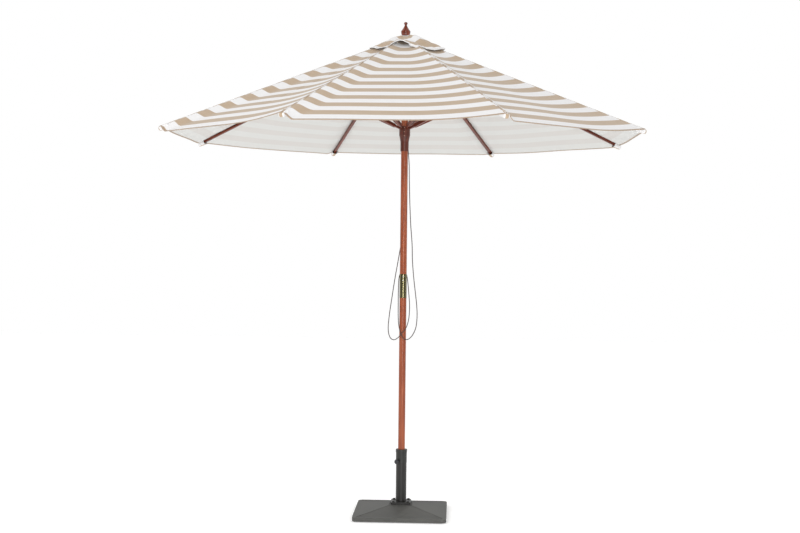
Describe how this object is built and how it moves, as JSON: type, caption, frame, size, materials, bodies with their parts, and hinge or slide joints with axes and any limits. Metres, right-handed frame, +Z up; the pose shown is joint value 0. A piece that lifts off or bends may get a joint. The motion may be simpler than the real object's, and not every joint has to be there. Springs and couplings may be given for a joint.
{
  "type": "patio umbrella with base",
  "caption": "Wooden market parasol with a striped octagonal canopy and vent cap, folding ribs on a sliding runner, a two-piece pole and a square base.",
  "frame": {"origin": "centre of the bounding box's underside, on the pole's axis where the base's feet stand", "axes": "+Z up along the pole, -Y towards the viewer with two front ribs either side of it, the clamp screw towards the front left"},
  "size_m": [2.496, 2.496, 2.716],
  "materials": {
    "foot_rubber": "matte",
    "base_plate": "satin",
    "base_steel": "satin",
    "bolt_steel": "satin",
    "collar_plastic": "satin",
    "knob_plastic": "satin",
    "pole_wood": "varnished",
    "turned_wood": "varnished",
    "rib_wood": "varnished",
    "finial_wood": "varnished, dark",
    "ferrule_brass": "polished",
    "pin_steel": "satin",
    "nail_metal": "satin",
    "bracket_metal": "satin",
    "canopy_cloth": "woven, beige and white stripes",
    "cord_fibre": "braided"
  },
  "bodies": {
    "base": {"base_feet": "foot_rubber", "base_plate": "base_plate", "base_tube": "base_steel", "base_bolts": "bolt_steel", "base_collar": "collar_plastic"},
    "clamp_screw": {"clamp_screw": "knob_plastic"},
    "lower_pole": {"lower_pole": "pole_wood", "ferrule": "ferrule_brass", "ferrule_screws": "pin_steel"},
    "upper_pole": {"upper_pole": "pole_wood", "top_hub": "turned_wood", "hub_pins": "pin_steel", "vent_spacer": "turned_wood", "vent_cap": "canopy_cloth", "finial": "finial_wood", "cord": "cord_fibre"},
    "sheave": {"sheave": "pin_steel"},
    "runner": {"runner": "turned_wood", "runner_pins": "pin_steel", "runner_nails": "nail_metal"},
    "rib_1": {"rib_1": "rib_wood", "strut_bracket_1": "bracket_metal"},
    "rib_2": {"rib_2": "rib_wood", "strut_bracket_2": "bracket_metal"},
    "rib_3": {"rib_3": "rib_wood", "strut_bracket_3": "bracket_metal"},
    "rib_4": {"rib_4": "rib_wood", "strut_bracket_4": "bracket_metal"},
    "rib_5": {"rib_5": "rib_wood", "strut_bracket_5": "bracket_metal"},
    "rib_6": {"rib_6": "rib_wood", "strut_bracket_6": "bracket_metal"},
    "rib_7": {"rib_7": "rib_wood", "strut_bracket_7": "bracket_metal"},
    "rib_8": {"rib_8": "rib_wood", "strut_bracket_8": "bracket_metal"},
    "strut_1": {"strut_1": "rib_wood"},
    "strut_2": {"strut_2": "rib_wood"},
    "strut_3": {"strut_3": "rib_wood"},
    "strut_4": {"strut_4": "rib_wood"},
    "strut_5": {"strut_5": "rib_wood"},
    "strut_6": {"strut_6": "rib_wood"},
    "strut_7": {"strut_7": "rib_wood"},
    "strut_8": {"strut_8": "rib_wood"},
    "canopy_left_1": {"canopy_left_1": "canopy_cloth"},
    "canopy_left_2": {"canopy_left_2": "canopy_cloth"},
    "canopy_left_3": {"canopy_left_3": "canopy_cloth"},
    "canopy_left_4": {"canopy_left_4": "canopy_cloth"},
    "canopy_left_5": {"canopy_left_5": "canopy_cloth"},
    "canopy_left_6": {"canopy_left_6": "canopy_cloth"},
    "canopy_left_7": {"canopy_left_7": "canopy_cloth"},
    "canopy_left_8": {"canopy_left_8": "canopy_cloth"},
    "canopy_right_1": {"canopy_right_1": "canopy_cloth"},
    "canopy_right_2": {"canopy_right_2": "canopy_cloth"},
    "canopy_right_3": {"canopy_right_3": "canopy_cloth"},
    "canopy_right_4": {"canopy_right_4": "canopy_cloth"},
    "canopy_right_5": {"canopy_right_5": "canopy_cloth"},
    "canopy_right_6": {"canopy_right_6": "canopy_cloth"},
    "canopy_right_7": {"canopy_right_7": "canopy_cloth"},
    "canopy_right_8": {"canopy_right_8": "canopy_cloth"}
  },
  "joints": [
    {"name": "pole_lift", "type": "slide", "parent": "base", "child": "lower_pole", "axis": [0, 0, 1], "range_m": [0, 0.28]},
    {"name": "mast_lift", "type": "slide", "parent": "lower_pole", "child": "upper_pole", "axis": [0, 0, 1], "range_m": [0, 0.06]},
    {"name": "clamp_turn", "type": "hinge", "parent": "base", "child": "clamp_screw", "pos_m": [0, 0, 0.292], "axis": [-0.5592, -0.829, 0], "range_deg": [0, 720]},
    {"name": "sheave_spin", "type": "hinge", "parent": "upper_pole", "child": "sheave", "pos_m": [0, 0, 2.522], "axis": [1, 0, 0], "continuous": true},
    {"name": "fold", "type": "hinge", "parent": "upper_pole", "child": "rib_1", "pos_m": [-0.01033, -0.02494, 2.612], "axis": [0.9239, -0.3827, 0], "range_deg": [0, 62.2], "deforming": ["cord", "canopy_left_1", "canopy_right_1", "canopy_left_2", "canopy_right_2", "canopy_left_3", "canopy_right_3", "canopy_left_4", "canopy_right_4", "canopy_left_5", "canopy_right_5", "canopy_left_6", "canopy_right_6", "canopy_left_7", "canopy_right_7", "canopy_left_8", "canopy_right_8"]},
    {"name": "fold_2", "type": "hinge", "parent": "upper_pole", "child": "rib_2", "pos_m": [0.01033, -0.02494, 2.612], "axis": [0.9239, 0.3827, 0], "range_deg": [0, 62.2]},
    {"name": "fold_3", "type": "hinge", "parent": "upper_pole", "child": "rib_3", "pos_m": [0.02494, -0.01033, 2.612], "axis": [0.3827, 0.9239, 0], "range_deg": [0, 62.2]},
    {"name": "fold_4", "type": "hinge", "parent": "upper_pole", "child": "rib_4", "pos_m": [0.02494, 0.01033, 2.612], "axis": [-0.3827, 0.9239, 0], "range_deg": [0, 62.2]},
    {"name": "fold_5", "type": "hinge", "parent": "upper_pole", "child": "rib_5", "pos_m": [0.01033, 0.02494, 2.612], "axis": [-0.9239, 0.3827, 0], "range_deg": [0, 62.2]},
    {"name": "fold_6", "type": "hinge", "parent": "upper_pole", "child": "rib_6", "pos_m": [-0.01033, 0.02494, 2.612], "axis": [-0.9239, -0.3827, 0], "range_deg": [0, 62.2]},
    {"name": "fold_7", "type": "hinge", "parent": "upper_pole", "child": "rib_7", "pos_m": [-0.02494, 0.01033, 2.612], "axis": [-0.3827, -0.9239, 0], "range_deg": [0, 62.2]},
    {"name": "fold_8", "type": "hinge", "parent": "upper_pole", "child": "rib_8", "pos_m": [-0.02494, -0.01033, 2.612], "axis": [0.3827, -0.9239, 0], "range_deg": [0, 62.2]},
    {"name": "strut_pin_1", "type": "hinge", "parent": "rib_1", "child": "strut_1", "pos_m": [-0.21585, -0.52111, 2.37012], "axis": [0.9239, -0.3827, 0], "range_deg": [-124.4, 0]},
    {"name": "strut_pin_2", "type": "hinge", "parent": "rib_2", "child": "strut_2", "pos_m": [0.21585, -0.52111, 2.37012], "axis": [0.9239, 0.3827, 0], "range_deg": [-124.4, 0]},
    {"name": "strut_pin_3", "type": "hinge", "parent": "rib_3", "child": "strut_3", "pos_m": [0.52111, -0.21585, 2.37012], "axis": [0.3827, 0.9239, 0], "range_deg": [-124.4, 0]},
    {"name": "strut_pin_4", "type": "hinge", "parent": "rib_4", "child": "strut_4", "pos_m": [0.52111, 0.21585, 2.37012], "axis": [-0.3827, 0.9239, 0], "range_deg": [-124.4, 0]},
    {"name": "strut_pin_5", "type": "hinge", "parent": "rib_5", "child": "strut_5", "pos_m": [0.21585, 0.52111, 2.37012], "axis": [-0.9239, 0.3827, 0], "range_deg": [-124.4, 0]},
    {"name": "strut_pin_6", "type": "hinge", "parent": "rib_6", "child": "strut_6", "pos_m": [-0.21585, 0.52111, 2.37012], "axis": [-0.9239, -0.3827, 0], "range_deg": [-124.4, 0]},
    {"name": "strut_pin_7", "type": "hinge", "parent": "rib_7", "child": "strut_7", "pos_m": [-0.52111, 0.21585, 2.37012], "axis": [-0.3827, -0.9239, 0], "range_deg": [-124.4, 0]},
    {"name": "strut_pin_8", "type": "hinge", "parent": "rib_8", "child": "strut_8", "pos_m": [-0.52111, -0.21585, 2.37012], "axis": [0.3827, -0.9239, 0], "range_deg": [-124.4, 0]},
    {"name": "runner_pin", "type": "hinge", "parent": "strut_1", "child": "runner", "pos_m": [-0.01033, -0.02494, 2.12825], "axis": [0.9239, -0.3827, 0], "range_deg": [0, 62.2]},
    {"name": "pleat_left_1", "type": "hinge", "parent": "rib_1", "child": "canopy_left_1", "pos_m": [-0.01033, -0.02494, 2.62557], "axis": [-0.3541, -0.8548, -0.3795], "range_deg": [-71.89, 0]},
    {"name": "pleat_right_1", "type": "hinge", "parent": "rib_1", "child": "canopy_right_1", "pos_m": [-0.01033, -0.02494, 2.62557], "axis": [-0.3541, -0.8548, -0.3795], "range_deg": [0, 71.89]},
    {"name": "pleat_left_2", "type": "hinge", "parent": "rib_2", "child": "canopy_left_2", "pos_m": [0.01033, -0.02494, 2.62557], "axis": [0.3541, -0.8548, -0.3795], "range_deg": [-71.89, 0]},
    {"name": "pleat_right_2", "type": "hinge", "parent": "rib_2", "child": "canopy_right_2", "pos_m": [0.01033, -0.02494, 2.62557], "axis": [0.3541, -0.8548, -0.3795], "range_deg": [0, 71.89]},
    {"name": "pleat_left_3", "type": "hinge", "parent": "rib_3", "child": "canopy_left_3", "pos_m": [0.02494, -0.01033, 2.62557], "axis": [0.8548, -0.3541, -0.3795], "range_deg": [-71.89, 0]},
    {"name": "pleat_right_3", "type": "hinge", "parent": "rib_3", "child": "canopy_right_3", "pos_m": [0.02494, -0.01033, 2.62557], "axis": [0.8548, -0.3541, -0.3795], "range_deg": [0, 71.89]},
    {"name": "pleat_left_4", "type": "hinge", "parent": "rib_4", "child": "canopy_left_4", "pos_m": [0.02494, 0.01033, 2.62557], "axis": [0.8548, 0.3541, -0.3795], "range_deg": [-71.89, 0]},
    {"name": "pleat_right_4", "type": "hinge", "parent": "rib_4", "child": "canopy_right_4", "pos_m": [0.02494, 0.01033, 2.62557], "axis": [0.8548, 0.3541, -0.3795], "range_deg": [0, 71.89]},
    {"name": "pleat_left_5", "type": "hinge", "parent": "rib_5", "child": "canopy_left_5", "pos_m": [0.01033, 0.02494, 2.62557], "axis": [0.3541, 0.8548, -0.3795], "range_deg": [-71.89, 0]},
    {"name": "pleat_right_5", "type": "hinge", "parent": "rib_5", "child": "canopy_right_5", "pos_m": [0.01033, 0.02494, 2.62557], "axis": [0.3541, 0.8548, -0.3795], "range_deg": [0, 71.89]},
    {"name": "pleat_left_6", "type": "hinge", "parent": "rib_6", "child": "canopy_left_6", "pos_m": [-0.01033, 0.02494, 2.62557], "axis": [-0.3541, 0.8548, -0.3795], "range_deg": [-71.89, 0]},
    {"name": "pleat_right_6", "type": "hinge", "parent": "rib_6", "child": "canopy_right_6", "pos_m": [-0.01033, 0.02494, 2.62557], "axis": [-0.3541, 0.8548, -0.3795], "range_deg": [0, 71.89]},
    {"name": "pleat_left_7", "type": "hinge", "parent": "rib_7", "child": "canopy_left_7", "pos_m": [-0.02494, 0.01033, 2.62557], "axis": [-0.8548, 0.3541, -0.3795], "range_deg": [-71.89, 0]},
    {"name": "pleat_right_7", "type": "hinge", "parent": "rib_7", "child": "canopy_right_7", "pos_m": [-0.02494, 0.01033, 2.62557], "axis": [-0.8548, 0.3541, -0.3795], "range_deg": [0, 71.89]},
    {"name": "pleat_left_8", "type": "hinge", "parent": "rib_8", "child": "canopy_left_8", "pos_m": [-0.02494, -0.01033, 2.62557], "axis": [-0.8548, -0.3541, -0.3795], "range_deg": [-71.89, 0]},
    {"name": "pleat_right_8", "type": "hinge", "parent": "rib_8", "child": "canopy_right_8", "pos_m": [-0.02494, -0.01033, 2.62557], "axis": [-0.8548, -0.3541, -0.3795], "range_deg": [0, 71.89]}
  ],
  "couplings": [
    {"joint": "fold_2", "follows": "fold", "ratio": 1},
    {"joint": "fold_3", "follows": "fold", "ratio": 1},
    {"joint": "fold_4", "follows": "fold", "ratio": 1},
    {"joint": "fold_5", "follows": "fold", "ratio": 1},
    {"joint": "fold_6", "follows": "fold", "ratio": 1},
    {"joint": "fold_7", "follows": "fold", "ratio": 1},
    {"joint": "fold_8", "follows": "fold", "ratio": 1},
    {"joint": "strut_pin_1", "follows": "fold", "ratio": -2},
    {"joint": "strut_pin_2", "follows": "fold", "ratio": -2},
    {"joint": "strut_pin_3", "follows": "fold", "ratio": -2},
    {"joint": "strut_pin_4", "follows": "fold", "ratio": -2},
    {"joint": "strut_pin_5", "follows": "fold", "ratio": -2},
    {"joint": "strut_pin_6", "follows": "fold", "ratio": -2},
    {"joint": "strut_pin_7", "follows": "fold", "ratio": -2},
    {"joint": "strut_pin_8", "follows": "fold", "ratio": -2},
    {"joint": "runner_pin", "follows": "fold", "ratio": 1},
    {"joint": "pleat_left_1", "follows": "fold", "ratio": -1.155},
    {"joint": "pleat_right_1", "follows": "fold", "ratio": 1.155},
    {"joint": "pleat_left_2", "follows": "fold", "ratio": -1.155},
    {"joint": "pleat_right_2", "follows": "fold", "ratio": 1.155},
    {"joint": "pleat_left_3", "follows": "fold", "ratio": -1.155},
    {"joint": "pleat_right_3", "follows": "fold", "ratio": 1.155},
    {"joint": "pleat_left_4", "follows": "fold", "ratio": -1.155},
    {"joint": "pleat_right_4", "follows": "fold", "ratio": 1.155},
    {"joint": "pleat_left_5", "follows": "fold", "ratio": -1.155},
    {"joint": "pleat_right_5", "follows": "fold", "ratio": 1.155},
    {"joint": "pleat_left_6", "follows": "fold", "ratio": -1.155},
    {"joint": "pleat_right_6", "follows": "fold", "ratio": 1.155},
    {"joint": "pleat_left_7", "follows": "fold", "ratio": -1.155},
    {"joint": "pleat_right_7", "follows": "fold", "ratio": 1.155},
    {"joint": "pleat_left_8", "follows": "fold", "ratio": -1.155},
    {"joint": "pleat_right_8", "follows": "fold", "ratio": 1.155}
  ]
}
